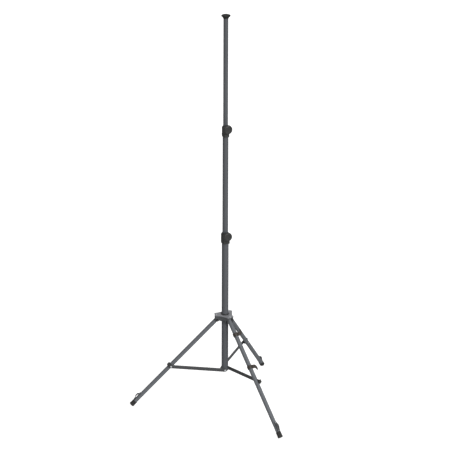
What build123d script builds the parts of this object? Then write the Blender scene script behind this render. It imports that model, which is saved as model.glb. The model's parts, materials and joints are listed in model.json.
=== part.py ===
"""A telescoping three-section tripod stand, in millimetres.

+Z is up.  The origin lies on the floor, on the axis of the mast.  The stand is
drawn set up: mast pulled out, hub down and legs spread.
"""
import math
import os

from build123d import *

# ---------------------------------------------------------------- driving dimensions
# tripod
LEG_AZIMUTHS = {"left": 180.0, "front": 300.0, "back": 60.0}
HOOKED_LEG = "front"
LEG_SPREAD = 43.3            # degrees between a leg and the vertical
LEG_LENGTH = 652.0           # pivot to the sole of the foot, along the leg
LEG_PIVOT_R = 42.0           # leg pivot from the mast axis
LEG_TOP = 10.0               # tube past its pivot
LEG_R = 11.0
LEG_WALL = 1.5
PIVOT_TO_STRUT = 349.0       # leg pivot to strut pivot, along the leg
FOOT_END_Z = 6.5             # centre of the sole's end above the floor
STRUT_BASE_Z = 195.0         # strut pivots at the foot of the mast

# mast
LOWER_R, LOWER_WALL = 17.5, 1.5
MIDDLE_R, MIDDLE_WALL = 14.5, 1.2
TOP_R, TOP_WALL = 12.0, 1.2
MAST_FOOT_Z = 187.0          # underside of the plug in the lower tube
LOWER_COLLAR_Z = 903.0       # lower edges of the two clamp collars
UPPER_COLLAR_Z = 1469.0
COLLAR_HEIGHT = 54.0
CAP_Z, CAP_HEIGHT, CAP_R = 2067.0, 18.5, 22.5
TUBE_OVERLAP = 92.0          # how far each tube reaches into the one below
KNOB_AZIMUTH = 282.0

# running and standing gaps
RUN = 0.05                   # radial clearance of a bearing
GAP = 0.3                    # between parts that pass each other
SHOULDER_R = 3.0             # all pivots turn on 6 mm shoulders

# ---------------------------------------------------------------- worked out
SPREAD = math.radians(LEG_SPREAD)
PIVOT_Z = FOOT_END_Z + LEG_LENGTH * math.cos(SPREAD)
STRUT_END_R = LEG_PIVOT_R + PIVOT_TO_STRUT * math.sin(SPREAD)
STRUT_END_Z = PIVOT_Z - PIVOT_TO_STRUT * math.cos(SPREAD)
STRUT_LENGTH = math.hypot(STRUT_END_R, STRUT_END_Z - STRUT_BASE_Z)
STRUT_RISE = math.atan2(STRUT_END_Z - STRUT_BASE_Z, STRUT_END_R)
FOLDED_RISE = math.acos(LEG_PIVOT_R / STRUT_LENGTH)
HUB_TRAVEL = STRUT_BASE_Z + STRUT_LENGTH * math.sin(FOLDED_RISE) + PIVOT_TO_STRUT - PIVOT_Z

# frames of one leg and one strut at azimuth 0: X along the member, Y tangential
LEG_FRAME = Plane(
    origin=(LEG_PIVOT_R, 0, PIVOT_Z),
    x_dir=(math.sin(SPREAD), 0, -math.cos(SPREAD)),
    z_dir=(math.cos(SPREAD), 0, math.sin(SPREAD)),
)
STRUT_FRAME = Plane(
    origin=(0, 0, STRUT_BASE_Z),
    x_dir=(math.cos(STRUT_RISE), 0, math.sin(STRUT_RISE)),
    z_dir=(-math.sin(STRUT_RISE), 0, math.cos(STRUT_RISE)),
)

# ---------------------------------------------------------------- general helpers
PARTS = {}


def keep(name, *solids):
    """Store one node; several solids in it stay separate."""
    PARTS[name] = solids[0] if len(solids) == 1 else Compound(children=list(solids))


def rod(radius, z0, z1):
    """Upright cylinder between two heights."""
    return Pos(0, 0, (z0 + z1) / 2) * Cylinder(radius, z1 - z0)


def sleeve(outer, inner, z0, z1):
    """Upright tube between two heights."""
    return rod(outer, z0, z1) - rod(inner, z0 - 1, z1 + 1)


def rod_x(radius, x0, x1):
    """Cylinder along X."""
    return Rot(0, 90, 0) * rod(radius, x0, x1)


def rod_y(radius, y0, y1):
    """Cylinder along Y."""
    return Rot(-90, 0, 0) * rod(radius, y0, y1)


def block(x0, x1, y0, y1, z0, z1):
    """Box given by its limits."""
    return Pos((x0 + x1) / 2, (y0 + y1) / 2, (z0 + z1) / 2) * Box(x1 - x0, y1 - y0, z1 - z0)


def turned(points):
    """Solid of revolution about Z from (radius, height) corners."""
    profile = make_face(Polyline(*[(r, 0, z) for r, z in points], close=True))
    return revolve(profile, Axis.Z)


def around(azimuth, shape):
    """Turn a shape drawn at azimuth 0 to its place round the mast."""
    return Rot(0, 0, azimuth) * shape


def button_head(radius, height):
    """Screw head with a rounded crown and a hexagon socket; its seat is at z = 0."""
    head = rod(radius, 0, height)
    head = fillet(head.edges().filter_by(GeomType.CIRCLE).sort_by(Axis.Z)[-1], height * 0.55)
    socket = Pos(0, 0, height) * extrude(RegularPolygon(radius * 0.42, 6), -height * 0.6)
    return head - socket


def hex_nut(across_corners_r, height, bore_r):
    """Plain nut with chamfered corners; its seat is at z = 0."""
    nut = extrude(RegularPolygon(across_corners_r, 6), height)
    nut &= turned([
        (0, 0), (across_corners_r, 0), (across_corners_r, height * 0.8),
        (across_corners_r * 0.88, height), (0, height),
    ])
    return nut - rod(bore_r, -1, height + 1)


# ---------------------------------------------------------------- mast tubes
PLUG_LIP = 4.0
STRUT_SEAT = LOWER_R + 0.05          # nylon washers stand on the tube here
WASHER_T = 0.6
STRUT_T = 3.5
STRUT_IN = STRUT_SEAT + WASHER_T + 0.1   # inner face of every strut
STRUT_OUT = STRUT_IN + STRUT_T
STRUT_H = 19.0

COLLAR_SEAT = 29.0                   # tube end inside its collar
SCREW_UP = 43.5                      # clamp screw above the collar's lower edge
BUSH_FLANGE = 3.0
BUSH_DEPTH = 30.0
LOWER_TOP = LOWER_COLLAR_Z + COLLAR_SEAT
MIDDLE_TOP = UPPER_COLLAR_Z + COLLAR_SEAT
MIDDLE_FOOT = LOWER_TOP - TUBE_OVERLAP
TOP_FOOT = MIDDLE_TOP - TUBE_OVERLAP
COLLAR_WALL = {"lower": 4.2, "upper": 3.8}
SCREW_R = 4.0


def mast_tubes():
    """The three tubes, each open at both ends."""
    lower = sleeve(LOWER_R, LOWER_R - LOWER_WALL, MAST_FOOT_Z + PLUG_LIP, LOWER_TOP)
    for azimuth in LEG_AZIMUTHS.values():
        lower -= around(azimuth, Pos(0, 0, STRUT_BASE_Z) * rod_y(SHOULDER_R, 0, 2 * LOWER_R))
    keep("lower_tube", lower)
    keep("middle_tube", sleeve(MIDDLE_R, MIDDLE_R - MIDDLE_WALL, MIDDLE_FOOT, MIDDLE_TOP))
    keep("top_tube", sleeve(TOP_R, TOP_R - TOP_WALL, TOP_FOOT, CAP_Z + CAP_HEIGHT - 6))


def mast_plug():
    """Plug in the foot of the mast that the strut bolts screw into."""
    plug = turned([
        (0, MAST_FOOT_Z), (LOWER_R - 3, MAST_FOOT_Z), (LOWER_R - 1, MAST_FOOT_Z + 0.8),
        (LOWER_R, MAST_FOOT_Z + 2.6), (LOWER_R, MAST_FOOT_Z + PLUG_LIP),
        (LOWER_R - LOWER_WALL, MAST_FOOT_Z + PLUG_LIP),
        (LOWER_R - LOWER_WALL, MAST_FOOT_Z + 30), (LOWER_R - LOWER_WALL - 1.5, MAST_FOOT_Z + 32),
        (0, MAST_FOOT_Z + 32),
    ])
    for azimuth in LEG_AZIMUTHS.values():
        plug -= around(azimuth, Pos(0, 0, STRUT_BASE_Z) * rod_y(SHOULDER_R, 5, 2 * LOWER_R))
    keep("mast_end_plug", plug)


def strut_pivots():
    """Shoulder bolts and nylon washers that carry the struts on the mast."""
    bolts, washers = [], []
    for azimuth in LEG_AZIMUTHS.values():
        bolt = rod_y(SHOULDER_R, 5, STRUT_OUT + 0.1)
        bolt += Pos(0, STRUT_OUT + 0.1, 0) * Rot(-90, 0, 0) * button_head(5.5, 3.0)
        bolts.append(around(azimuth, Pos(0, 0, STRUT_BASE_Z) * bolt))
        washer = rod_y(6.5, STRUT_SEAT, STRUT_SEAT + WASHER_T) - rod_y(SHOULDER_R, 0, 2 * LOWER_R)
        washers.append(around(azimuth, Pos(0, 0, STRUT_BASE_Z) * washer))
    keep("strut_pivot_bolts", *bolts)
    keep("strut_pivot_washers", *washers)


def guide_bush(name, tube_r, outer_r, foot_z):
    """Plastic sleeve on the foot of a sliding tube; it runs in the tube below."""
    keep(name, turned([
        (tube_r - 3, foot_z - 3), (outer_r - 0.8, foot_z - 3), (outer_r, foot_z - 2),
        (outer_r, foot_z + 32), (outer_r - 0.6, foot_z + 34), (tube_r, foot_z + 34),
        (tube_r, foot_z), (tube_r - 3, foot_z),
    ]))


def clamp(name, base_z, tube_r, tube_bore, inner_r):
    """Collar on a tube's end with its bush, pad, screw and knob."""
    outer = tube_r + COLLAR_WALL[name]
    top = base_z + COLLAR_HEIGHT
    seat = base_z + COLLAR_SEAT
    lip_r = inner_r + 0.6
    screw_z = base_z + SCREW_UP
    collar = turned([
        (tube_r, base_z), (outer - 1.6, base_z), (outer, base_z + 2.5),
        (outer, top - 7), (outer - 1.2, top - 4), (lip_r + 2.4, top), (lip_r, top),
        (lip_r, seat + BUSH_FLANGE), (tube_r, seat + BUSH_FLANGE),
    ])
    # boss for the screw on a square shoulder that runs down to the collar's lower edge
    face_r = outer + 8.5
    front_r = outer + 4.5
    shoulder = make_face(Polyline((0, base_z), (front_r - 1.6, base_z), (front_r, base_z + 2.5),
                                  (front_r, screw_z + 2), (outer - 1, screw_z + 8), (0, screw_z + 8), close=True))
    boss = extrude(Plane.XZ * shoulder, outer - 4.3, both=True)
    boss -= Pos(front_r, outer - 4.3, 0) * Rot(0, 0, 45) * block(-3, 3, -3, 3, base_z - 1, top)
    boss -= Pos(front_r, 4.3 - outer, 0) * Rot(0, 0, 45) * block(-3, 3, -3, 3, base_z - 1, top)
    boss += Pos(0, 0, screw_z) * rod_x(12.5, 0, face_r)
    rib = make_face(Polyline((0, base_z + 9), (front_r, base_z + 9), (face_r, screw_z - 9),
                             (face_r, screw_z), (0, screw_z), close=True))
    boss += extrude(Plane.XZ * rib, 6.0, both=True)
    boss &= rod(60, base_z, top - 1.5)
    boss -= rod(outer - 1.5, base_z - 1, top + 1)
    collar += around(KNOB_AZIMUTH, boss)
    collar -= around(KNOB_AZIMUTH, Pos(0, 0, screw_z) * rod_x(SCREW_R + RUN, inner_r, 60))
    keep(f"{name}_collar", collar)

    bush = sleeve(tube_bore, inner_r + RUN, seat - BUSH_DEPTH, seat)
    bush += sleeve(tube_r, inner_r + RUN, seat, seat + BUSH_FLANGE)
    keep(f"{name}_bush", bush)

    # the pad seats on the sliding tube inside the screw's hole
    pad_end = inner_r + 3.0
    pad = Pos(0, 0, screw_z) * rod_x(SCREW_R - 0.1, inner_r + RUN, pad_end)
    keep(f"{name}_clamp_pad", around(KNOB_AZIMUTH, pad))

    # two rivets at the back hold the collar on its tube
    rivets = []
    for side in (130, 230):
        rivet = rod_x(2.0, tube_bore + 0.2, outer) + rod_x(3.6, outer - 0.2, outer + 1.2)
        rivets.append(around(KNOB_AZIMUTH + side, Pos(0, 0, base_z + 10) * rivet))
    collar_with_holes = PARTS[f"{name}_collar"]
    tube_name = f"{name}_tube" if name == "lower" else "middle_tube"
    tube_with_holes = PARTS[tube_name]
    for rivet in rivets:
        collar_with_holes -= rivet
        tube_with_holes -= rivet
        PARTS[f"{name}_bush"] -= rivet
    PARTS[f"{name}_collar"] = collar_with_holes
    PARTS[tube_name] = tube_with_holes
    keep(f"{name}_collar_rivets", *rivets)

    clamp_knob(name, screw_z, pad_end + 0.1, face_r)


KNOB_R = 24.3
KNOB_DEPTH = 15.0
KNOB_FLUTES = 20


def clamp_knob(name, screw_z, tip_r, face_r):
    """Round knob with a bevelled rim, a grip of fine flutes, a cap and a steel stud."""
    back = face_r + 1.0
    front = back + KNOB_DEPTH
    knob = turned([
        (0, back), (9.5, back), (10.5, back + 2.5), (KNOB_R - 2, back + 2.5), (KNOB_R, back + 4.5),
        (KNOB_R, front - 5.5), (KNOB_R - 5.5, front - 0.6), (KNOB_R - 7, front),
        (KNOB_R - 8, front), (KNOB_R - 8, front - 1.5), (0, front - 1.5),
    ])
    for i in range(KNOB_FLUTES):
        flute = Pos(KNOB_R + 1.2, 0, 0) * rod(2.0, back, front)
        knob -= Rot(0, 0, i * 360 / KNOB_FLUTES) * flute
    knob -= rod(SCREW_R, back - 1, back + 9)
    cap = rod(KNOB_R - 8, front - 1.5, front - 0.4)
    cap = fillet(cap.edges().sort_by(Axis.Z)[-1], 0.4)
    stud = rod(SCREW_R, tip_r, back + 9)
    lie = Rot(0, 90, 0)
    keep(f"{name}_knob", around(KNOB_AZIMUTH, Pos(0, 0, screw_z) * lie * knob))
    keep(f"{name}_knob_cap", around(KNOB_AZIMUTH, Pos(0, 0, screw_z) * lie * cap))
    keep(f"{name}_knob_stud", around(KNOB_AZIMUTH, Pos(0, 0, screw_z) * lie * stud))


def top_cap():
    """Mushroom cap pushed over the top tube."""
    top = CAP_Z + CAP_HEIGHT
    cap = turned([
        (0, CAP_Z), (TOP_R + 2.6, CAP_Z), (TOP_R + 3.4, CAP_Z + 5), (CAP_R - 1, CAP_Z + 9),
        (CAP_R, CAP_Z + 10.5), (CAP_R, CAP_Z + 13), (CAP_R - 1.5, CAP_Z + 15.5),
        (CAP_R - 6, top - 1), (CAP_R - 10.5, top), (0, top),
    ])
    keep("top_cap", cap - rod(TOP_R, CAP_Z - 1, top - 6))


# ---------------------------------------------------------------- hub
ARM_END = 53.0
ARM_HALF = 17.0
SIDE_MID = 33.0               # hollow sides come this near the mast axis
CHANNEL_HALF = LEG_R + 0.35
CHANNEL_IN = 25.4
HUB_FOOT = PIVOT_Z - 8.0
HUB_ROOF = PIVOT_Z + 17.0
PLATE_Z = PIVOT_Z + 24.0
PLATE_TOP = PIVOT_Z + 26.5
HUB_BORE = LOWER_R + 1.8
BOLT_SEAT = 16.4
HUB_SCREW_AZIMUTH = 120.0
HUB_SCREW_Z = PIVOT_Z + 5.5
HUB_SCREW_R = 3.0
HUB_BOSS_R = 37.0
PLATE_SCREW_AT = 44.0


def hub_outline(grow):
    """Three stubby arms joined by hollow sides; grow moves the edge outwards."""
    corner_r = math.hypot(ARM_END + grow, ARM_HALF + grow)
    corner_a = math.degrees(math.atan2(ARM_HALF + grow, ARM_END + grow))
    edges = []
    for azimuth in sorted(LEG_AZIMUTHS.values()):
        ends = [(corner_r, azimuth - corner_a), (corner_r, azimuth + corner_a)]
        here = [(r * math.cos(math.radians(a)), r * math.sin(math.radians(a))) for r, a in ends]
        bisector = math.radians(azimuth + 60)
        middle = ((SIDE_MID + grow) * math.cos(bisector), (SIDE_MID + grow) * math.sin(bisector))
        after = math.radians(azimuth + 120 - corner_a)
        edges.append(Line(here[0], here[1]))
        edges.append(ThreePointArc(here[1], middle,
                                   (corner_r * math.cos(after), corner_r * math.sin(after))))
    face = make_face(edges)
    return fillet(face.vertices(), 6.0 + grow)


def hub_body():
    """Cast hub: channels for the legs, roof, bore and an arched lower edge."""
    body = Pos(0, 0, HUB_FOOT) * extrude(hub_outline(0), PLATE_Z - HUB_FOOT)
    arch_half, arch_rise = 24.0, 10.0
    arch_r = (arch_half ** 2 + arch_rise ** 2) / (2 * arch_rise)
    for azimuth in LEG_AZIMUTHS.values():
        channel = block(CHANNEL_IN, 70, -CHANNEL_HALF, CHANNEL_HALF, HUB_FOOT - 1, HUB_ROOF)
        bolt = Pos(LEG_PIVOT_R, 0, PIVOT_Z) * rod_y(SHOULDER_R, -30, 30)
        seats = Pos(LEG_PIVOT_R, 0, PIVOT_Z) * (rod_y(6.5, -30, -BOLT_SEAT) + rod_y(6.5, BOLT_SEAT, 30))
        screw = Pos(PLATE_SCREW_AT, 0, 0) * rod(2.0, HUB_ROOF - 1, PLATE_Z + 1)
        body -= around(azimuth, channel + bolt + seats + screw)
        arch = Pos(0, 0, HUB_FOOT + arch_rise - arch_r) * rod_x(arch_r, 23.5, 70)
        body -= around(azimuth + 60, arch)
    boss = Pos(0, 0, HUB_SCREW_Z) * rod_x(7.5, 22, HUB_BOSS_R)
    body += around(HUB_SCREW_AZIMUTH, boss)
    body -= around(HUB_SCREW_AZIMUTH, Pos(0, 0, HUB_SCREW_Z) * rod_x(HUB_SCREW_R + RUN, 0, 60))
    body -= rod(HUB_BORE, HUB_FOOT - 1, PLATE_Z + 1)
    keep("hub_body", body)


def hub_plate():
    """Pressed cover plate that overhangs the casting, and its three screws."""
    plate = Pos(0, 0, PLATE_Z) * extrude(hub_outline(1.2), PLATE_TOP - PLATE_Z)
    plate = fillet(plate.edges().group_by(Axis.Z)[-1], 1.2)
    plate -= rod(HUB_BORE, PLATE_Z - 1, PLATE_TOP + 1)
    screws = []
    for azimuth in LEG_AZIMUTHS.values():
        screw = rod(2.0, HUB_ROOF, PLATE_TOP) + Pos(0, 0, PLATE_TOP) * button_head(4.6, 2.4)
        screw = around(azimuth, Pos(PLATE_SCREW_AT, 0, 0) * screw)
        plate -= around(azimuth, Pos(PLATE_SCREW_AT, 0, 0) * rod(2.0, PLATE_Z - 1, PLATE_TOP + 1))
        screws.append(screw)
    keep("hub_plate", plate)
    keep("hub_plate_screws", *screws)


def hub_bush():
    """Plastic bush that slides on the lower tube, with a collar above the plate."""
    bush = sleeve(HUB_BORE, LOWER_R + RUN, HUB_FOOT + 4, PLATE_TOP)
    ring = sleeve(LOWER_R + 3.2, LOWER_R + RUN, PLATE_TOP, PLATE_TOP + 4.5)
    ring = fillet(ring.edges().filter_by(GeomType.CIRCLE).sort_by(SortBy.RADIUS)[-1:], 1.0)
    bush += ring
    bush -= around(HUB_SCREW_AZIMUTH, Pos(0, 0, HUB_SCREW_Z) * rod_x(HUB_SCREW_R + RUN, 0, 60))
    keep("hub_bush", bush)


def hub_pivots():
    """One bolt and nut through each arm, for the legs."""
    bolts, nuts = [], []
    for azimuth in LEG_AZIMUTHS.values():
        bolt = rod_y(SHOULDER_R, -BOLT_SEAT, BOLT_SEAT + 5.5)
        bolt += Pos(0, -BOLT_SEAT, 0) * Rot(90, 0, 0) * button_head(5.2, 3.0)
        nut = Pos(0, BOLT_SEAT, 0) * Rot(-90, 0, 0) * hex_nut(5.7, 4.8, SHOULDER_R)
        at = Pos(LEG_PIVOT_R, 0, PIVOT_Z)
        bolts.append(around(azimuth, at * bolt))
        nuts.append(around(azimuth, at * nut))
    keep("leg_pivot_bolts", *bolts)
    keep("leg_pivot_nuts", *nuts)


def hub_screw():
    """Small clamp screw that holds the hub on the mast, behind the stand."""
    back = HUB_BOSS_R + 0.8
    grip = turned([
        (0, back), (6.0, back), (6.5, back + 2), (9.0, back + 3.5), (9.8, back + 5),
        (9.8, back + 10.5), (8.8, back + 12), (0, back + 12),
    ])
    for i in range(8):
        grip -= Rot(0, 0, i * 45) * Pos(11.2, 0, 0) * rod(2.6, back - 1, back + 14)
    grip -= rod(HUB_SCREW_R, back - 1, back + 8)
    stud = rod(HUB_SCREW_R, LOWER_R + 0.1, back + 8)
    lie = Pos(0, 0, HUB_SCREW_Z) * Rot(0, 90, 0)
    keep("hub_knob", around(HUB_SCREW_AZIMUTH, lie * grip))
    keep("hub_knob_stud", around(HUB_SCREW_AZIMUTH, lie * stud))


# ---------------------------------------------------------------- legs and struts
SOLE = 5.0
FOOT_CAP_L, FOOT_CAP_R = 30.0, 13.2
BOW_FROM, BOW_TO = 571.0, 621.0
BOW_T, BOW_W, BOW_OFF = 1.8, 15.0, 7.9
SHELF = STRUT_IN - GAP        # outer face of the strut bracket
STRUT_RIVET_HEAD = 5.2


def on_leg(azimuth, shape):
    """Place a shape drawn in the leg's own frame: X down the leg, Y tangential, Z outward."""
    return around(azimuth, LEG_FRAME.location * shape)


def leg(name, azimuth):
    """Leg tube with its plug, strut bracket, rivet, foot cap and loop."""
    end = LEG_LENGTH - SOLE
    tube = rod_x(LEG_R, -LEG_TOP, end) - rod_x(LEG_R - LEG_WALL, -LEG_TOP - 1, end + 1)
    tube -= rod_y(SHOULDER_R + RUN, -20, 20)
    tube -= Pos(PIVOT_TO_STRUT, 0, 0) * rod_y(2.5, -20, 20)

    # end plug: a closed core with a rounded nose, bored for the pivot bolt
    core = LEG_R - LEG_WALL
    plug = rod_x(core, -LEG_TOP, 14) + rod_x(LEG_R, -LEG_TOP - 1.6, -LEG_TOP)
    plug -= rod_y(SHOULDER_R + RUN, -20, 20)

    # bracket: a saddle on the tangential side, with a block that reaches over the leg
    bracket = block(-9, 9, 4, SHELF, -9, 8.6)
    bracket = fillet(bracket.edges().filter_by(Axis.Y), 3.0)
    bracket += block(-8, 8, 3, SHELF, 8.6, 21)
    bracket -= rod_x(LEG_R, -30, 30)
    bracket -= rod_y(2.5, 0, 40)
    bracket = Pos(PIVOT_TO_STRUT, 0, 0) * bracket
    rivet = rod_y(4.4, -LEG_R - 1.4, -LEG_R + 1.5) - rod_x(LEG_R, -10, 10)
    rivet = Pos(PIVOT_TO_STRUT, 0, 0) * (rivet + rod_y(2.5, -LEG_R - 1, SHELF - 0.6))

    keep(f"{name}_leg_tube", on_leg(azimuth, tube))
    keep(f"{name}_leg_plug", on_leg(azimuth, plug))
    keep(f"{name}_strut_bracket", on_leg(azimuth, bracket))
    keep(f"{name}_bracket_rivet", on_leg(azimuth, rivet))
    foot(name, azimuth)


def foot(name, azimuth):
    """Rubber cap, flat where it stands, and the steel loop above it."""
    start = LEG_LENGTH - FOOT_CAP_L
    cap = Rot(0, 90, 0) * turned([
        (0, start), (FOOT_CAP_R - 1.2, start), (FOOT_CAP_R - 0.4, start + 1.2),
        (FOOT_CAP_R, LEG_LENGTH - 1), (FOOT_CAP_R - 1, LEG_LENGTH), (0, LEG_LENGTH),
    ])
    cap -= rod_x(LEG_R, start - 1, LEG_LENGTH - SOLE)
    cap = on_leg(azimuth, cap) & around(azimuth, block(300, 700, -40, 40, 0, 100))
    keep(f"{name}_foot_cap", cap)

    # the loop rises steeply at its upper end and runs down gently to the cap
    seat = LEG_R + BOW_T / 2
    crest = LEG_R + BOW_OFF
    path = FilletPolyline(
        (BOW_FROM, 0, seat), (BOW_FROM + 9, 0, seat), (BOW_FROM + 14, 0, crest),
        (BOW_FROM + 28, 0, crest), (BOW_TO - 8, 0, seat), (BOW_TO, 0, seat), radius=2.6)
    bow = sweep(Plane(path @ 0, x_dir=(0, 1, 0), z_dir=path % 0) * Rectangle(BOW_W, BOW_T), path)
    rivets = []
    for at in (BOW_FROM + 4, BOW_TO - 3.5):
        shank = rod(1.6, LEG_R - LEG_WALL - 1.2, LEG_R + BOW_T)
        head = fillet(rod(2.8, 0, 1.4).edges().sort_by(Axis.Z)[-1], 1.0)
        rivets.append(Pos(at, 0, 0) * (shank + Pos(0, 0, LEG_R + BOW_T) * head))
        bow -= Pos(at, 0, 0) * rod(1.6, LEG_R - 5, LEG_R + BOW_T + 0.001)
    tube = PARTS[f"{name}_leg_tube"]
    for rivet in rivets:
        tube -= on_leg(azimuth, rivet)
    PARTS[f"{name}_leg_tube"] = tube
    keep(f"{name}_foot_loop", on_leg(azimuth, bow))
    keep(f"{name}_loop_rivets", *[on_leg(azimuth, rivet) for rivet in rivets])


def strut(name, azimuth):
    """Flat steel strut with round ends and its outer pivot stub."""
    half = STRUT_H / 2
    bar = Pos(0, 0, 0) * SlotCenterToCenter(STRUT_LENGTH, STRUT_H)
    bar = extrude(Plane.XZ * Pos(STRUT_LENGTH / 2, 0, 0) * bar, -STRUT_T)
    bar = Pos(0, STRUT_IN, 0) * bar
    bar = fillet(bar.edges().filter_by(Axis.X), 1.0)
    bar -= rod_y(SHOULDER_R + RUN, 0, 60)
    bar -= Pos(STRUT_LENGTH, 0, 0) * rod_y(SHOULDER_R, 0, 60)
    stub = rod_y(SHOULDER_R, STRUT_IN, STRUT_OUT)
    stub += Pos(0, STRUT_OUT, 0) * Rot(-90, 0, 0) * button_head(STRUT_RIVET_HEAD, 2.6)
    stub = Pos(STRUT_LENGTH, 0, 0) * stub
    keep(f"{name}_strut", around(azimuth, STRUT_FRAME.location * bar))
    keep(f"{name}_strut_pin", around(azimuth, STRUT_FRAME.location * stub))


# ---------------------------------------------------------------- cable hooks
HOOK_AT = {"upper": 78.0, "lower": 262.0}     # down the leg
HOOK_RING_R, HOOK_RING_W = 14.0, 18.0
HOOK_W = 9.0


def cable_hook(place, tip):
    """Clip round the leg with a curved arm; tip is +1 down the leg or -1 up it."""
    ring = rod_x(HOOK_RING_R, -HOOK_RING_W / 2, HOOK_RING_W / 2)
    outer = [(-8, 6), (-8.6, 16), (-8, 25), (-4, 34), (5, 38.6), (14, 39.4), (23, 38.6)]
    inner = [(23, 36), (16, 34.6), (11, 31.2), (9.2, 26), (9.2, 18), (10, 8)]
    arm = make_face([
        Spline(*outer), Line(outer[-1], inner[0]), Spline(*inner), Line(inner[-1], outer[0]),
    ])
    hook = ring + extrude(arm, HOOK_W / 2, both=True)
    if tip < 0:
        hook = mirror(hook, Plane.YZ)
    hook -= rod_x(LEG_R, -30, 30)
    mouth = make_face(Polyline((0, 0), (-9, -30), (9, -30), close=True))
    hook -= Plane.YZ * extrude(mouth, 30, both=True)
    keep(f"cable_hook_{place}", on_leg(LEG_AZIMUTHS[HOOKED_LEG], Pos(HOOK_AT[place], 0, 0) * hook))


# ---------------------------------------------------------------- build
def build():
    """Make every node in order."""
    mast_tubes()
    mast_plug()
    strut_pivots()
    guide_bush("middle_guide_bush", MIDDLE_R, LOWER_R - LOWER_WALL - RUN, MIDDLE_FOOT)
    guide_bush("top_guide_bush", TOP_R, MIDDLE_R - MIDDLE_WALL - RUN, TOP_FOOT)
    clamp("lower", LOWER_COLLAR_Z, LOWER_R, LOWER_R - LOWER_WALL, MIDDLE_R)
    clamp("upper", UPPER_COLLAR_Z, MIDDLE_R, MIDDLE_R - MIDDLE_WALL, TOP_R)
    top_cap()
    hub_body()
    hub_plate()
    hub_bush()
    hub_pivots()
    hub_screw()
    for name, azimuth in LEG_AZIMUTHS.items():
        leg(name, azimuth)
        strut(name, azimuth)
    cable_hook("upper", -1)
    cable_hook("lower", 1)


build()
os.makedirs("parts", exist_ok=True)
for node, shape in PARTS.items():
    export_step(shape, f"parts/{node}.step")
print(f"{len(PARTS)} nodes; strut {STRUT_LENGTH:.2f}; hub travel {HUB_TRAVEL:.2f}; pivot z {PIVOT_Z:.2f}; "
      f"leg swing {LEG_SPREAD:.3f}; strut swing {math.degrees(FOLDED_RISE - STRUT_RISE):.3f}")
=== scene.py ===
"""Looks of a telescoping tripod stand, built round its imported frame.

Metres, +Z up, with the origin on the floor under the mast.  Parts of the frame whose shape is
right keep it and get a finish.  Moulded, cast, turned and pressed parts are modelled here and
stand in for the frame's plain ones.  Sizes of new pieces are in millimetres until they are built.
"""
from __future__ import annotations

import json
import logging
import math
from dataclasses import dataclass
from enum import Enum
from typing import ClassVar

import bmesh
import bpy
from mathutils import Matrix, Vector


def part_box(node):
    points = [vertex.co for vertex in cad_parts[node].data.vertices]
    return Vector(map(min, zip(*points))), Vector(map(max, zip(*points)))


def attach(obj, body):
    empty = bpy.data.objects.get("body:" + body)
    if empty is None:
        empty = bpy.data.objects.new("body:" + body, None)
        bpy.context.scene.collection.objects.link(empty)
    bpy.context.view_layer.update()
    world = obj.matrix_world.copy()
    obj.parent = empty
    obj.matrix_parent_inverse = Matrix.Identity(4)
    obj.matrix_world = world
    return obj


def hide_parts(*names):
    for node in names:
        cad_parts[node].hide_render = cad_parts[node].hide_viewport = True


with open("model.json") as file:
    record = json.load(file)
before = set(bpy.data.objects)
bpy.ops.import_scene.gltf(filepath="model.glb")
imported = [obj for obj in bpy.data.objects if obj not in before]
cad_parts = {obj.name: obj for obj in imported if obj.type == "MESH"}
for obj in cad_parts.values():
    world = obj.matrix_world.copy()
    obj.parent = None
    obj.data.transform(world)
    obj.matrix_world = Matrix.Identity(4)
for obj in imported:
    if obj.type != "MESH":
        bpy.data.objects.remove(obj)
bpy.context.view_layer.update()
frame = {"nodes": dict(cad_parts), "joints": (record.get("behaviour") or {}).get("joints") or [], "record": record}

MM = 0.001
SAME_POINT_TURNED = 1e-6           # metres; a spin's first and last points meet this closely
SAME_POINT_COPIED = 1e-5           # metres; the frame's triangles meet this closely
STRAIGHT = math.radians(88)        # half turn past which a profile's corner counts as straight
LONGEST_CUT = 0.45                 # share of a side that a rounding may take
LOG = logging.getLogger("stand")
Corner = tuple[float, float]


class Slot(Enum):
    """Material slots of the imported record."""

    MAST = "mast_paint"
    STRUT = "strut_paint"
    HUB = "hub_paint"
    PLATE = "plate_paint"
    PLASTIC = "black_plastic"
    HOOK = "hook_plastic"
    RUBBER = "foot_rubber"
    LOOP = "loop_steel"
    ZINC = "fastener_zinc"
    NYLON = "bearing_nylon"


# ---------------------------------------------------------------- finishes
def linear(hex_colour: str) -> tuple[float, float, float, float]:
    """Turn an sRGB hex colour into the linear colour that a shader takes.

    Args:
        hex_colour: Six hexadecimal digits.

    Returns:
        Red, green, blue and an alpha of one.
    """
    channels = [int(hex_colour[i:i + 2], 16) / 255 for i in (0, 2, 4)]
    linear_ones = [c / 12.92 if c <= 0.04045 else ((c + 0.055) / 1.055) ** 2.4 for c in channels]
    return (*linear_ones, 1.0)


def add_node(
    tree: bpy.types.NodeTree, kind: str, sockets: dict[str | int, object] | None = None, **settings: object
) -> bpy.types.Node:
    """Add one shader node with its settings, values and links.

    Args:
        tree: The node tree that it joins.
        kind: Blender's name of the node type.
        sockets: Input name or number, with a value, or with the output to link there.
        **settings: Properties of the node itself.

    Returns:
        The new node.
    """
    node = tree.nodes.new(kind)
    for name, value in settings.items():
        setattr(node, name, value)
    for name, value in (sockets or {}).items():
        if isinstance(value, bpy.types.NodeSocket):
            tree.links.new(value, node.inputs[name])
        else:
            node.inputs[name].default_value = value
    return node


def per_metre(feature_mm: float) -> float:
    """Texture scale that gives features of this size in millimetres."""
    return 1.0 / (feature_mm * MM)


# Numbers of the colour sockets of a Mix node.
MIX_SHARE, MIX_FIRST, MIX_SECOND, MIX_RESULT = 0, 6, 7, 2


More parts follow.
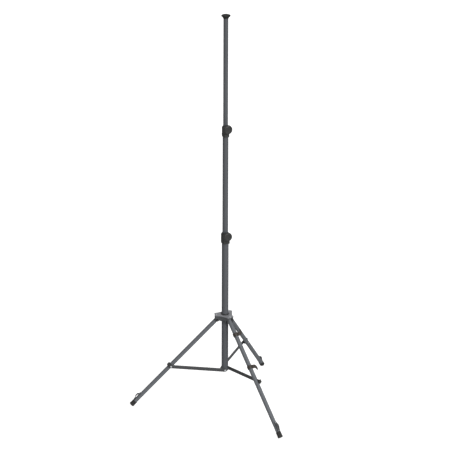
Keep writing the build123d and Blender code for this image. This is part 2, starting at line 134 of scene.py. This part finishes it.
@dataclass(frozen=True)
class Finish:
    """One surface: a base colour that drifts slightly, a roughness that varies and a fine relief.

    The relief has two scales: the texture of the process, such as orange peel or spark-eroded
    grain, and a slower waviness.  Grain finer than about half a millimetre is drawn coarser.
    """

    PATCH: ClassVar[float] = 6.0                          # grains across a patch of one roughness
    PATCH_RANGE: ClassVar[tuple[float, float]] = (0.3, 0.7)     # noise that gives the two roughnesses
    GRAIN_STRENGTH: ClassVar[float] = 0.6
    WAVE_STRENGTH: ClassVar[float] = 0.5
    SCUFF_GROUP_MM: ClassVar[float] = 35.0                # size of a group of rubbed spots
    SCUFF_SPOT_MM: ClassVar[float] = 2.5
    SCUFF_RANGE: ClassVar[tuple[float, float]] = (0.36, 0.46)   # noise where the rubbing starts and is full

    name: str
    colour: str
    tint: str                      # the colour it drifts towards
    roughness: tuple[float, float]
    grain_mm: float
    grain_depth_mm: float
    wave_mm: float = 40.0
    wave_depth_mm: float = 0.0
    metallic: float = 0.0
    ior: float = 1.5
    scuff: str | None = None       # colour of rubbed spots
    scuff_share: float = 0.0
    stretch: tuple[float, float, float] = (1.0, 1.0, 1.0)

    def material(self) -> bpy.types.Material:
        """Build the material, or give the one already built."""
        known = bpy.data.materials.get(self.name)
        if known:
            return known
        made = bpy.data.materials.new(self.name)
        made.use_nodes = True
        tree = made.node_tree
        tree.nodes.clear()
        where = add_node(tree, "ShaderNodeTexCoord").outputs["Object"]
        run = add_node(tree, "ShaderNodeMapping", {"Vector": where, "Scale": self.stretch}).outputs[0]
        drift = self._noise(tree, where, self.wave_mm, 3.0)
        fine = self._noise(tree, run, self.grain_mm, 2.0)
        colour = self._mix(tree, drift, linear(self.colour), linear(self.tint))
        patches = self._noise(tree, run, self.grain_mm * self.PATCH, 4.0)
        rough_at = self._ranged(tree, patches, self.PATCH_RANGE, self.roughness)
        if self.scuff:
            rubbed = self._rubbed(tree, run)
            colour = self._mix(tree, rubbed, colour, linear(self.scuff))
        relief = add_node(tree, "ShaderNodeBump", {
            "Height": fine, "Strength": self.GRAIN_STRENGTH,
            "Distance": self.grain_depth_mm * MM}).outputs[0]
        if self.wave_depth_mm:
            relief = add_node(tree, "ShaderNodeBump", {
                "Height": drift, "Strength": self.WAVE_STRENGTH,
                "Distance": self.wave_depth_mm * MM, "Normal": relief}).outputs[0]
        shader = add_node(tree, "ShaderNodeBsdfPrincipled", {
            "Base Color": colour, "Roughness": rough_at, "Normal": relief,
            "Metallic": self.metallic, "IOR": self.ior})
        add_node(tree, "ShaderNodeOutputMaterial", {"Surface": shader.outputs[0]})
        return made

    def _noise(
        self, tree: bpy.types.NodeTree, where: bpy.types.NodeSocket, feature_mm: float, detail: float
    ) -> bpy.types.NodeSocket:
        """Noise with features of a given size, from 0 to 1."""
        return add_node(tree, "ShaderNodeTexNoise", {
            "Vector": where, "Scale": per_metre(feature_mm), "Detail": detail}).outputs["Fac"]

    def _mix(
        self, tree: bpy.types.NodeTree, share: bpy.types.NodeSocket, first: object, second: object
    ) -> bpy.types.NodeSocket:
        """Blend two colours by a share."""
        colours = {MIX_SHARE: share, MIX_FIRST: first, MIX_SECOND: second}
        return add_node(tree, "ShaderNodeMix", colours, data_type="RGBA").outputs[MIX_RESULT]

    def _ranged(
        self, tree: bpy.types.NodeTree, value: bpy.types.NodeSocket, start: tuple[float, float],
        end: tuple[float, float]
    ) -> bpy.types.NodeSocket:
        """Stretch one range of values to another."""
        return add_node(tree, "ShaderNodeMapRange", {
            "Value": value, "From Min": start[0], "From Max": start[1],
            "To Min": end[0], "To Max": end[1]}).outputs[0]

    def _rubbed(self, tree: bpy.types.NodeTree, where: bpy.types.NodeSocket) -> bpy.types.NodeSocket:
        """Mark small rubbed spots in loose groups.

        Args:
            tree: The material's node tree.
            where: Place on the piece.

        Returns:
            Share of the rubbed colour, from 0 to the finish's own share.
        """
        groups = self._noise(tree, where, self.SCUFF_GROUP_MM, 2.0)
        spots = self._noise(tree, where, self.SCUFF_SPOT_MM, 6.0)
        both = add_node(tree, "ShaderNodeMath", {0: groups, 1: spots}, operation="MULTIPLY").outputs[0]
        return self._ranged(tree, both, self.SCUFF_RANGE, (0.0, self.scuff_share))


# Polyester powder coat on steel tube: a soft satin with orange peel and a few rubbed spots.
MAST_COAT = Finish(
    "powder_coated_steel_tube", "4b4d51", "535559", (0.52, 0.62), 1.6, 0.02, wave_mm=90.0, ior=1.42,
    scuff="66676a", scuff_share=0.35, stretch=(1.0, 1.0, 0.25))
# The same coat on the legs, slightly lighter: painted light, standing in for the extra light on the legs'
# upward-facing sides.
LEG_COAT_WITH_PAINTED_LIGHT = Finish(
    "leg_tube_coat_with_painted_light", "5a5d61", "616468", (0.52, 0.62), 1.6, 0.02, wave_mm=70.0, ior=1.42,
    scuff="6c6e71", scuff_share=0.35)
# The same coat on cold-rolled flat bar, a little glossier on its flat sides, and darker as painted shade, standing
# in for the shade on the bars' side faces.
STRUT_COAT_WITH_PAINTED_SHADE = Finish(
    "flat_bar_coat_with_painted_shade", "38393b", "3f4042", (0.40, 0.52), 1.4, 0.02, wave_mm=50.0,
    scuff="616265", scuff_share=0.4)
# Wet paint on a zinc die casting: slightly wavy skin under an even satin film.
CAST_PAINT = Finish(
    "painted_zinc_die_casting", "404244", "484a4c", (0.40, 0.50), 1.2, 0.03, wave_mm=9.0,
    wave_depth_mm=0.12, scuff="66676a", scuff_share=0.3)
# Paint on pressed sheet, smooth and more even, and lighter as painted light, standing in for the top light on the
# hub's upper face.
PLATE_PAINT_WITH_PAINTED_LIGHT = Finish(
    "pressed_steel_with_painted_top_light", "7b7c80", "828387", (0.34, 0.44), 1.4, 0.015, wave_mm=25.0,
    scuff="85868a", scuff_share=0.3)
# Glass-filled nylon from a spark-eroded mould: fine even grain, dull sheen.
NYLON_BLACK = Finish(
    "moulded_black_nylon", "252624", "2b2c2a", (0.48, 0.60), 0.7, 0.05, wave_mm=30.0,
    scuff="3b3c3a", scuff_share=0.25)
# The cap is the same nylon with a deeper black, as a separate moulding often has.
CAP_NYLON = Finish(
    "moulded_deep_black_nylon", "101110", "141513", (0.56, 0.66), 0.7, 0.05, wave_mm=20.0, ior=1.4,
    scuff="3b3c3a", scuff_share=0.25)
# The clamp knobs are the same nylon with more rubbed spots, from handling.
KNOB_NYLON = Finish(
    "moulded_grey_black_nylon", "212121", "272726", (0.45, 0.58), 0.7, 0.05, wave_mm=18.0,
    scuff="4c4c4b", scuff_share=0.3)
# Polypropylene hooks: a smoother, waxier sheen than nylon's, and faintly brown.
HOOK_PLASTIC = Finish(
    "moulded_brown_black_polypropylene", "332e2a", "3b3530", (0.34, 0.46), 0.9, 0.02, wave_mm=16.0)
# Moulded rubber: dull, with dust held in the grain.
FOOT_RUBBER = Finish(
    "moulded_black_rubber", "1f1f1f", "272625", (0.68, 0.85), 0.8, 0.08, wave_mm=12.0,
    scuff="4b4945", scuff_share=0.5)
# Zinc-plated steel: bright but cloudy.
ZINC = Finish(
    "zinc_plated_steel", "c4c6c8", "b3b6b9", (0.32, 0.46), 0.9, 0.01, wave_mm=5.0, metallic=0.75)
# Blackened steel of the leg pivots and the collars' rivets: dark with a soft metal sheen.
BLACK_STEEL = Finish(
    "blackened_steel", "3a3b3d", "444548", (0.32, 0.46), 0.9, 0.01, wave_mm=6.0, metallic=0.6)
# Natural nylon: milky and slightly soft looking.
NYLON_NATURAL = Finish(
    "natural_nylon", "cfcbbd", "d6d3c7", (0.40, 0.52), 0.8, 0.02, wave_mm=10.0)


# ---------------------------------------------------------------- shaping
def softened(corners: list[Corner], radius: float, steps: int = 4) -> list[Vector]:
    """Round the inner corners of an open profile.

    Args:
        corners: Points of the profile in millimetres.
        radius: Size of the rounding in millimetres, less where a side is short.
        steps: Short sides that each rounding is made of.

    Returns:
        Points of the rounded profile in millimetres.
    """
    points = [Vector(corners[0])]
    for before, corner, after in zip(corners, corners[1:], corners[2:]):
        tip = Vector(corner)
        back, ahead = Vector(before) - tip, Vector(after) - tip
        half_turn = back.angle(ahead) / 2
        if half_turn > STRAIGHT:
            points.append(tip)
            continue
        longest = LONGEST_CUT * min(back.length, ahead.length)
        cut = min(radius / math.tan(half_turn), longest)
        start, end = tip + back.normalized() * cut, tip + ahead.normalized() * cut
        for i in range(steps + 1):
            t = i / steps
            points.append(start * (1 - t) ** 2 + tip * (2 * t * (1 - t)) + end * t ** 2)
    points.append(Vector(corners[-1]))
    return points


def turned(corners: list[Corner], radius: float, segments: int) -> bmesh.types.BMesh:
    """Spin a profile about Z into a closed solid.

    Args:
        corners: (radius, height) points in millimetres, from axis to axis.
        radius: Rounding of the corners in millimetres.
        segments: Steps of the spin.

    Returns:
        The solid, in metres.
    """
    shape = bmesh.new()
    outline = softened(corners, radius)
    verts = [shape.verts.new((p.x * MM, 0.0, p.y * MM)) for p in outline]
    edges = [shape.edges.new(pair) for pair in zip(verts, verts[1:])]
    bmesh.ops.spin(
        shape, geom=[*verts, *edges], cent=(0, 0, 0), axis=(0, 0, 1), dvec=(0, 0, 0),
        angle=math.tau, steps=segments, use_merge=True, use_duplicate=False)
    bmesh.ops.remove_doubles(shape, verts=shape.verts, dist=SAME_POINT_TURNED)
    bmesh.ops.recalc_face_normals(shape, faces=shape.faces)
    return shape


FLUTE_SHARPNESS = 1.5              # above one, the grooves are narrower than the ridges
FLUTE_RUN_IN = 1.5                 # how soon a groove reaches its full depth


def flute(shape: bmesh.types.BMesh, count: int, depth: float, inside: float) -> None:
    """Press round grooves into the rim of a turned solid.

    Args:
        shape: Solid about Z, in metres.
        count: Number of grooves.
        depth: Depth in millimetres.
        inside: Radius in millimetres where the grooves have run out.
    """
    rim = max(v.co.xy.length for v in shape.verts)
    for vert in shape.verts:
        reach = vert.co.xy.length
        share = (reach - inside * MM) / (rim - inside * MM)
        if share <= 0:
            continue
        wave = math.cos(count * math.atan2(vert.co.y, vert.co.x))
        valley = (0.5 + 0.5 * wave) ** FLUTE_SHARPNESS
        vert.co.xy *= 1 - depth * MM * valley * min(1.0, share * FLUTE_RUN_IN) / reach


def carried(section: list[Vector], stations: list[Matrix]) -> bmesh.types.BMesh:
    """Carry a flat section from station to station by extruding its face.

    Args:
        section: Corners of the section, in metres.
        stations: Places of the section along the way.

    Returns:
        The closed solid, with only its two end faces left of the section's.
    """
    shape = bmesh.new()
    faces = [shape.faces.new([shape.verts.new(stations[0] @ corner) for corner in section])]
    for here, there in zip(stations, stations[1:]):
        grown = bmesh.ops.extrude_face_region(shape, geom=faces[-1:])["geom"]
        moved = [g for g in grown if isinstance(g, bmesh.types.BMVert)]
        bmesh.ops.transform(shape, matrix=there @ here.inverted(), verts=moved)
        faces.append(next(g for g in grown if isinstance(g, bmesh.types.BMFace)))
    bmesh.ops.delete(shape, geom=faces[1:-1], context="FACES_ONLY")
    bmesh.ops.recalc_face_normals(shape, faces=shape.faces)
    return shape


SHARP_EDGE = math.radians(40)


def rounded_edges(shape: bmesh.types.BMesh, width: float) -> None:
    """Bevel every sharp edge.

    Args:
        shape: Closed solid to change.
        width: Width of the bevel in millimetres.
    """
    edges = [e for e in shape.edges if e.calc_face_angle() > SHARP_EDGE]
    bmesh.ops.bevel(
        shape, geom=edges, offset=width * MM, segments=3, profile=0.5, affect="EDGES",
        material=-1, clamp_overlap=True)


SMOOTHING = 0.5                    # share of the way to its neighbours that each pass moves a point


def moulded(node: str, local: Matrix, voxel: float, passes: int) -> bmesh.types.BMesh:
    """Copy a part of the frame and round all its edges, inside and out, as a mould or die does.

    Args:
        node: Name of the frame's part.
        local: The part's own axes, so that its flat faces lie square while it is rounded.
        voxel: Fineness in millimetres.
        passes: Times that the skin is smoothed.

    Returns:
        The rounded solid in its own axes.
    """
    copy = bmesh.new()
    copy.from_mesh(frame["nodes"][node].data)
    bmesh.ops.remove_doubles(copy, verts=copy.verts, dist=SAME_POINT_COPIED)
    bmesh.ops.transform(copy, matrix=local.inverted(), verts=copy.verts)
    mesh = bpy.data.meshes.new("rough")
    copy.to_mesh(mesh)
    copy.free()
    rough = bpy.data.objects.new("rough", mesh)
    bpy.context.scene.collection.objects.link(rough)
    remesh = rough.modifiers.new("skin", "REMESH")
    remesh.mode = "VOXEL"
    remesh.voxel_size = voxel * MM
    smooth = rough.modifiers.new("smooth", "SMOOTH")
    smooth.factor = SMOOTHING
    smooth.iterations = passes
    shape = bmesh.new()
    shape.from_object(rough, bpy.context.evaluated_depsgraph_get())
    bpy.data.objects.remove(rough)
    bpy.data.meshes.remove(mesh)
    return shape


def axes(origin: Vector, x: Vector, y: Vector, z: Vector) -> Matrix:
    """Matrix of a place with these directions."""
    turn = Matrix((x, y, z)).transposed().to_4x4()
    return Matrix.Translation(origin) @ turn


def facing(origin: Vector, along: Vector) -> Matrix:
    """Matrix of a place whose Z points along a direction that isn't upright, with its Y level."""
    ahead = along.normalized()
    side = Vector((0, 0, 1)).cross(ahead).normalized()
    return axes(origin, side.cross(ahead), side, ahead)


def joint(name: str) -> dict:
    """The frame's joint of that name."""
    return next(j for j in frame["joints"] if j["name"] == name)


def reach(node: str, origin: Vector, along: Vector) -> tuple[float, float]:
    """Nearest and furthest point of a part along a direction, in millimetres from the origin."""
    steps = [(v.co - origin).dot(along) / MM for v in frame["nodes"][node].data.vertices]
    return min(steps), max(steps)


@dataclass
class Assembly:
    """A group of pieces that ride on one body."""

    body: str

    def add(
        self, name: str, shape: bmesh.types.BMesh, place: Matrix, finish: Finish, slot: Slot,
        replaces: tuple[str, ...] = (), body: str | None = None, crease: float = 38.0
    ) -> bpy.types.Object:
        """Make a finished piece of a shape.

        Args:
            name: Name of the piece.
            shape: Its solid, in its own axes; freed here.
            place: Where those axes lie in the frame.
            finish: Its surface.
            slot: The record's material slot; not used.
            replaces: Parts of the frame that it stands for.
            body: Body that it rides on, where that isn't the assembly's own.
            crease: Angle in degrees past which an edge shades sharp.

        Returns:
            The object, at the origin, with its place in its mesh.
        """
        bmesh.ops.transform(shape, matrix=place, verts=shape.verts)
        mesh = bpy.data.meshes.new(name)
        shape.to_mesh(mesh)
        shape.free()
        mesh.shade_smooth()
        mesh.set_sharp_from_angle(angle=math.radians(crease))
        mesh.materials.append(finish.material())
        piece = bpy.data.objects.new(name, mesh)
        bpy.context.scene.collection.objects.link(piece)
        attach(piece, body or self.body)
        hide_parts(*replaces)
        LOG.info("%s: %d faces on %s", name, len(mesh.polygons), body or self.body)
        return piece

    def dress(self, finish: Finish, slot: Slot, *nodes: str) -> None:
        """Give parts of the frame that keep their shape a finish.

        Args:
            finish: Their surface.
            slot: The record's material slot; not used.
            *nodes: Names of the parts.
        """
        for node in nodes:
            part = frame["nodes"][node]
            part.data.materials.clear()
            part.data.materials.append(finish.material())
            LOG.info("%s: dressed in %s", node, finish.name)


# ---------------------------------------------------------------- mast
@dataclass
class Mast(Assembly):
    """The three tubes, the cap and the plug that the struts hang on."""

    body: str = "mast"
    cap_r: float = 22.5
    cap_neck_r: float = 14.6
    cap_bore_r: float = 12.05      # fits over the top tube

    def build(self) -> None:
        """Dress the tubes and turn the cap."""
        self.dress(MAST_COAT, Slot.MAST, "lower_tube", "middle_tube", "top_tube")
        self.dress(NYLON_BLACK, Slot.PLASTIC, "mast_end_plug", "middle_guide_bush", "top_guide_bush")
        self.dress(ZINC, Slot.ZINC, "strut_pivot_bolts")
        self.dress(NYLON_NATURAL, Slot.NYLON, "strut_pivot_washers")
        low, high = (corner.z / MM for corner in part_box("top_cap"))
        cap = turned([
            (0, low + 1), (self.cap_bore_r, low + 1), (self.cap_bore_r, low), (self.cap_neck_r, low),
            (self.cap_neck_r + 0.8, low + 5), (self.cap_r - 1, low + 9), (self.cap_r, low + 10.5),
            (self.cap_r, low + 13), (self.cap_r - 1.5, low + 15.5), (self.cap_r - 6, high - 1),
            (self.cap_r - 10.5, high), (4, high), (3.4, high - 0.5), (0, high - 0.5),
        ], radius=0.9, segments=72)
        self.add("top_cap_moulded", cap, Matrix(), CAP_NYLON, Slot.PLASTIC, ("top_cap",), body="top")


@dataclass
class Clamp(Assembly):
    """A collar at a tube's end, with the round knob that tightens it."""

    place: str = "lower"
    knob_r: float = 24.3
    face_r: float = 15.5
    stud_bore_r: float = 4.1
    flutes: int = 20

    def build(self) -> None:
        """Round the collar and turn the knob and its cap."""
        name = self.place
        turn = joint(f"{name}_knob_turn")
        origin, out = Vector(turn["pos_m"]), Vector(turn["axis"])
        knob_body = turn["child"]
        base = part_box(f"{name}_collar")[0]
        own = axes(Vector((0, 0, base.z)), out, Vector((0, 0, 1)).cross(out), Vector((0, 0, 1)))
        collar = moulded(f"{name}_collar", own, voxel=0.65, passes=5)
        self.add(f"{name}_collar_moulded", collar, own, NYLON_BLACK, Slot.PLASTIC,
                 (f"{name}_collar",), crease=60.0)
        self.dress(NYLON_BLACK, Slot.PLASTIC, f"{name}_bush")
        self.dress(NYLON_NATURAL, Slot.NYLON, f"{name}_clamp_pad")
        self.dress(BLACK_STEEL, Slot.ZINC, f"{name}_collar_rivets")
        self.dress(ZINC, Slot.ZINC, f"{name}_knob_stud")

        back, front = reach(f"{name}_knob", origin, out)
        rim, bore = self.knob_r, self.stud_bore_r
        knob = turned([
            (0, back + 9), (bore, back + 9), (bore, back), (9.5, back), (10.5, back + 2.5),
            (rim - 2, back + 2.5), (rim, back + 4.5), (rim, front - 5.5), (rim - 5.5, front - 0.6),
            (rim - 7, front), (self.face_r + 0.1, front), (self.face_r + 0.1, front - 1.5),
            (0, front - 1.5),
        ], radius=0.8, segments=self.flutes * 10)
        flute(knob, self.flutes, 1.1, rim - 3.5)
        seat = facing(origin, out)
        self.add(f"{name}_knob_moulded", knob, seat, KNOB_NYLON, Slot.PLASTIC,
                 (f"{name}_knob",), body=knob_body)
        cap = turned([
            (0, front - 1.5), (self.face_r, front - 1.5), (self.face_r, front - 0.5),
            (self.face_r - 1.2, front - 0.3), (self.face_r - 3.5, front - 0.7), (0, front - 0.9),
        ], radius=0.5, segments=80)
        self.add(f"{name}_knob_cap_moulded", cap, seat, KNOB_NYLON, Slot.PLASTIC,
                 (f"{name}_knob_cap",), body=knob_body)


# ---------------------------------------------------------------- hub
@dataclass
class Hub(Assembly):
    """The casting that the legs hang on, its plate, bolts and clamp knob."""

    body: str = "hub"
    grip_r: float = 9.8
    stud_bore_r: float = 3.05
    lobes: int = 8

    def build(self) -> None:
        """Round the casting, dress the rest and turn the small knob."""
        casting = moulded("hub_body", Matrix(), voxel=0.9, passes=6)
        self.add("hub_casting", casting, Matrix(), CAST_PAINT, Slot.HUB, ("hub_body",), crease=60.0)
        # The plate's lighter paint is painted light for the top light on the hub's upper face.
        self.dress(PLATE_PAINT_WITH_PAINTED_LIGHT, Slot.PLATE, "hub_plate")
        self.dress(ZINC, Slot.ZINC, "hub_plate_screws", "hub_knob_stud")
        self.dress(BLACK_STEEL, Slot.ZINC, "leg_pivot_bolts", "leg_pivot_nuts")
        self.dress(NYLON_BLACK, Slot.PLASTIC, "hub_bush")
        turn = joint("hub_knob_turn")
        origin, out = Vector(turn["pos_m"]), Vector(turn["axis"])
        back, front = reach("hub_knob", origin, out)
        rim, bore = self.grip_r, self.stud_bore_r
        grip = turned([
            (0, back + 8), (bore, back + 8), (bore, back), (6.0, back), (6.5, back + 2),
            (rim - 0.8, back + 3.5), (rim, back + 5), (rim, front - 1.5), (rim - 1, front),
            (5, front), (0, front - 0.6),
        ], radius=0.7, segments=self.lobes * 12)
        flute(grip, self.lobes, 1.2, 7.0)
        self.add("hub_knob_moulded", grip, facing(origin, out), NYLON_BLACK, Slot.PLASTIC,
                 ("hub_knob",), body=turn["child"])


# ---------------------------------------------------------------- legs
@dataclass
class Leg(Assembly):
    """One leg with its bracket, foot, loop and strut."""

    name: str = "left"
    length: float = 652.0
    tube_r: float = 11.0
    strut_at: float = 349.0
    cap_length: float = 30.0
    cap_r: float = 13.2
    sole: float = 5.0
    grooves: int = 3
    groove_pitch: float = 4.5
    loop_from: float = 571.0
    loop_to: float = 621.0
    loop_rise: float = 7.9
    strip: tuple[float, float] = (15.0, 1.8)

    def axes_at(self, along: float) -> Matrix:
        """Give the leg's own axes at a place on it: X down the leg, Y to its side, Z outward.

        Args:
            along: Distance from the leg's pivot in millimetres.

        Returns:
            Matrix of that place in the open stand.
        """
        fold = joint(f"leg_{self.name}_fold")
        coupling = next(c for c in frame["record"]["behaviour"]["couplings"]
                        if c["joint"] == fold["name"])
        spread = coupling["ratio"] * joint(coupling["follows"])["range_m"][1]
        pivot, side = Vector(fold["pos_m"]), Vector(fold["axis"])
        radial = Vector((pivot.x, pivot.y, 0)).normalized()
        down = radial * math.sin(spread) - Vector((0, 0, math.cos(spread)))
        return axes(pivot + down * along * MM, down, side, down.cross(side))

    def build(self) -> None:
        """Make everything on this leg, and its strut."""
        name = self.name
        # The legs' coat is lighter than the mast's as painted light for their upward-facing sides.
        self.dress(LEG_COAT_WITH_PAINTED_LIGHT, Slot.MAST, f"{name}_leg_tube")
        self.dress(NYLON_BLACK, Slot.PLASTIC, f"{name}_leg_plug")
        self.dress(ZINC, Slot.ZINC, f"{name}_loop_rivets")
        # The strut's coat is darker than the mast's as painted shade.
        self.dress(STRUT_COAT_WITH_PAINTED_SHADE, Slot.STRUT, f"{name}_strut")
        self.dress(ZINC, Slot.ZINC, f"{name}_strut_pin")
        self.bracket()
        self.foot()
        self.loop()

    def bracket(self) -> None:
        """Round the moulded bracket and turn the rivet that holds it."""
        at = self.axes_at(self.strut_at)
        block = moulded(f"{self.name}_strut_bracket", at, voxel=0.5, passes=4)
        self.add(f"{self.name}_bracket_moulded", block, at, NYLON_BLACK, Slot.PLASTIC,
                 (f"{self.name}_strut_bracket",), crease=60.0)
        seat = self.tube_r - 0.4
        shank, head, foot = 2.5, 4.4, -seat - 17
        rivet = turned([
            (0, foot), (shank, foot), (shank, 0), (head, 0), (head, 0.7), (3.0, 1.5), (0, 1.8),
        ], radius=0.5, segments=32)
        to_side = at @ Matrix.Translation((0, -seat * MM, 0)) @ Matrix.Rotation(math.pi / 2, 4, "X")
        self.add(f"{self.name}_bracket_rivet_domed", rivet, to_side, ZINC, Slot.ZINC,
                 (f"{self.name}_bracket_rivet",))

    def foot(self) -> None:
        """Turn the ribbed rubber cap and cut it flat where it stands."""
        start, end, rim = self.length - self.cap_length, self.length, self.cap_r
        corners = [(0, end - self.sole), (self.tube_r, end - self.sole), (self.tube_r, start),
                   (rim - 1.2, start), (rim - 0.4, start + 1.2)]
        for groove in range(self.grooves):
            at = start + 7 + self.groove_pitch * groove
            corners += [(rim - 0.3, at), (rim - 0.9, at + 0.5), (rim - 0.9, at + 1.3), (rim - 0.2, at + 1.8)]
        corners += [(rim, end - 1), (rim - 1, end), (0, end)]
        cap = turned(corners, radius=0.5, segments=56)
        place = self.axes_at(0) @ Matrix.Rotation(math.pi / 2, 4, "Y")
        bmesh.ops.transform(cap, matrix=place, verts=cap.verts)
        bmesh.ops.bisect_plane(
            cap, geom=[*cap.verts, *cap.edges, *cap.faces], plane_co=(0, 0, 0), plane_no=(0, 0, -1),
            clear_outer=True)
        bmesh.ops.holes_fill(cap, edges=[e for e in cap.edges if e.is_boundary], sides=0)
        bmesh.ops.recalc_face_normals(cap, faces=cap.faces)
        self.add(f"{self.name}_foot_cap_ribbed", cap, Matrix(), FOOT_RUBBER, Slot.RUBBER,
                 (f"{self.name}_foot_cap",))

    def loop(self) -> None:
        """Bend the flat steel strip of the loop over the leg."""
        width, thick = self.strip
        low = self.tube_r + thick / 2
        high = self.tube_r + self.loop_rise
        first, last = self.loop_from, self.loop_to
        line = softened([
            (first, low), (first + 9, low), (first + 14, high), (first + 28, high),
            (last - 8, low), (last, low)], radius=2.6, steps=6)
        stations = []
        for i, point in enumerate(line):
            before, after = line[max(i - 1, 0)], line[min(i + 1, len(line) - 1)]
            ahead = (after - before).normalized()
            along, across = Vector((ahead.x, 0, ahead.y)), Vector((0, 1, 0))
            stations.append(axes(Vector((point.x, 0, point.y)) * MM, along, across, along.cross(across)))
        half, deep = width / 2 * MM, thick / 2 * MM
        section = [Vector((0, y, z)) for y, z in ((-half, -deep), (half, -deep), (half, deep), (-half, deep))]
        strip = carried(section, stations)
        rounded_edges(strip, 0.45)
        # The loop wears the struts' coat, darkened as painted shade.
        self.add(f"{self.name}_foot_loop_bent", strip, self.axes_at(0), STRUT_COAT_WITH_PAINTED_SHADE, Slot.LOOP,
                 (f"{self.name}_foot_loop",))


@dataclass
class CableHook(Assembly):
    """A clip round the front leg with a curved arm for cables."""

    body: str = "leg_front"
    place: str = "upper"
    along: float = 78.0

    def build(self, leg: Leg) -> None:
        """Round the moulded hook.

        Args:
            leg: The leg that it is clipped to.
        """
        at = leg.axes_at(self.along)
        hook = moulded(f"cable_hook_{self.place}", at, voxel=0.55, passes=6)
        self.add(f"cable_hook_{self.place}_moulded", hook, at, HOOK_PLASTIC, Slot.HOOK,
                 (f"cable_hook_{self.place}",), crease=60.0)


# ---------------------------------------------------------------- studio
@dataclass(frozen=True)
class Viewpoint:
    """Where the camera stands: a long way off, above the stand, looking down at it."""

    distance: float = 8.0
    azimuth: float = -5.2          # degrees; to the left of straight ahead
    swing: float = 0.009           # degrees that it looks to the left of the mast
    height: float = 4.1106
    pitch: float = 21.26           # degrees below the horizon
    roll: float = 0.003            # radians
    lens: float = 136.16           # millimetres
    sensor: float = 36.0           # millimetres across

    def build(self) -> None:
        """Make the camera and set it as the scene's."""
        turn, dip = math.radians(self.azimuth), math.radians(self.pitch)
        look = turn + math.radians(self.swing)
        ahead = Vector((-math.sin(look) * math.cos(dip), math.cos(look) * math.cos(dip), -math.sin(dip)))
        data = bpy.data.cameras.new("camera")
        data.lens = self.lens
        data.sensor_width = self.sensor
        data.clip_end = 200.0
        camera = bpy.data.objects.new("camera", data)
        camera.location = (self.distance * math.sin(turn), -self.distance * math.cos(turn), self.height)
        facing_stand = ahead.to_track_quat("-Z", "Y").to_matrix()
        camera.rotation_euler = (facing_stand @ Matrix.Rotation(self.roll, 3, "Z")).to_euler()
        bpy.context.scene.collection.objects.link(camera)
        bpy.context.scene.camera = camera


@dataclass(frozen=True)
class SoftLight:
    """One wide soft light, so far off that it falls evenly on the whole stand."""

    name: str
    comes_from: tuple[float, float, float]
    strength: float
    spread: float                  # degrees across

    def build(self) -> None:
        """Hang the light and point it."""
        data = bpy.data.lights.new(self.name, "SUN")
        data.energy = self.strength
        data.angle = math.radians(self.spread)
        lamp = bpy.data.objects.new(self.name, data)
        lamp.rotation_euler = (-Vector(self.comes_from)).to_track_quat("-Z", "Y").to_euler()
        bpy.context.scene.collection.objects.link(lamp)


class Studio:
    """White floor, white surroundings and soft lamps."""

    ROOM_GLOW = 0.10               # light that the surroundings give the stand
    FLOOR_GLOW = 0.80              # added to the floor as it is seen, so that it comes out plain white
    FLOOR_RADIUS = 40.0            # metres
    LIGHTS = (
        SoftLight("key", (0.34, -0.87, 0.35), 2.80, 24.0),
        SoftLight("overhead", (0.0, 0.0, 1.0), 1.4, 100.0),
        SoftLight("behind", (-0.45, 0.70, 0.65), 0.6, 90.0),
    )

    def build(self) -> None:
        """Lay the floor, light the room and set how the picture is toned."""
        scene = bpy.context.scene
        scene.view_settings.view_transform = "Standard"
        scene.view_settings.look = "None"
        world = bpy.data.worlds.new("white_room")
        world.use_nodes = True
        background = world.node_tree.nodes["Background"]
        background.inputs["Color"].default_value = linear("ffffff")
        seen = add_node(world.node_tree, "ShaderNodeLightPath").outputs["Is Camera Ray"]
        strength = add_node(world.node_tree, "ShaderNodeMapRange", {
            "Value": seen, "To Min": self.ROOM_GLOW, "To Max": 1.0}).outputs[0]
        world.node_tree.links.new(strength, background.inputs["Strength"])
        scene.world = world
        for light in self.LIGHTS:
            light.build()
        self._floor()

    def _floor(self) -> None:
        """Lay a wide round floor under the feet, with a glow of its own where it is looked at."""
        disc = bmesh.new()
        bmesh.ops.create_circle(disc, cap_ends=True, segments=96, radius=self.FLOOR_RADIUS)
        mesh = bpy.data.meshes.new("floor")
        disc.to_mesh(mesh)
        disc.free()
        paper = bpy.data.materials.new("white_paper")
        paper.use_nodes = True
        shader = paper.node_tree.nodes["Principled BSDF"]
        shader.inputs["Base Color"].default_value = linear("b4b4b4")
        shader.inputs["Roughness"].default_value = 0.9
        shader.inputs["Emission Color"].default_value = linear("ffffff")
        seen = add_node(paper.node_tree, "ShaderNodeLightPath").outputs["Is Camera Ray"]
        glow = add_node(paper.node_tree, "ShaderNodeMath", {0: seen, 1: self.FLOOR_GLOW},
                        operation="MULTIPLY").outputs[0]
        paper.node_tree.links.new(glow, shader.inputs["Emission Strength"])
        mesh.materials.append(paper)
        floor = bpy.data.objects.new("floor", mesh)
        bpy.context.scene.collection.objects.link(floor)


def main() -> None:
    """Build the camera, the studio and the stand."""
    logging.basicConfig(level=logging.INFO, format="%(name)s %(message)s")
    Viewpoint().build()
    Studio().build()
    Mast().build()
    Clamp(body="mast", place="lower").build()
    Clamp(body="middle", place="upper").build()
    Hub().build()
    legs = {name: Leg(body=f"leg_{name}", name=name) for name in ("left", "front", "back")}
    for leg in legs.values():
        leg.build()
    for place, along in (("upper", 78.0), ("lower", 262.0)):
        CableHook(place=place, along=along).build(legs["front"])


if __name__ == "__main__":
    main()
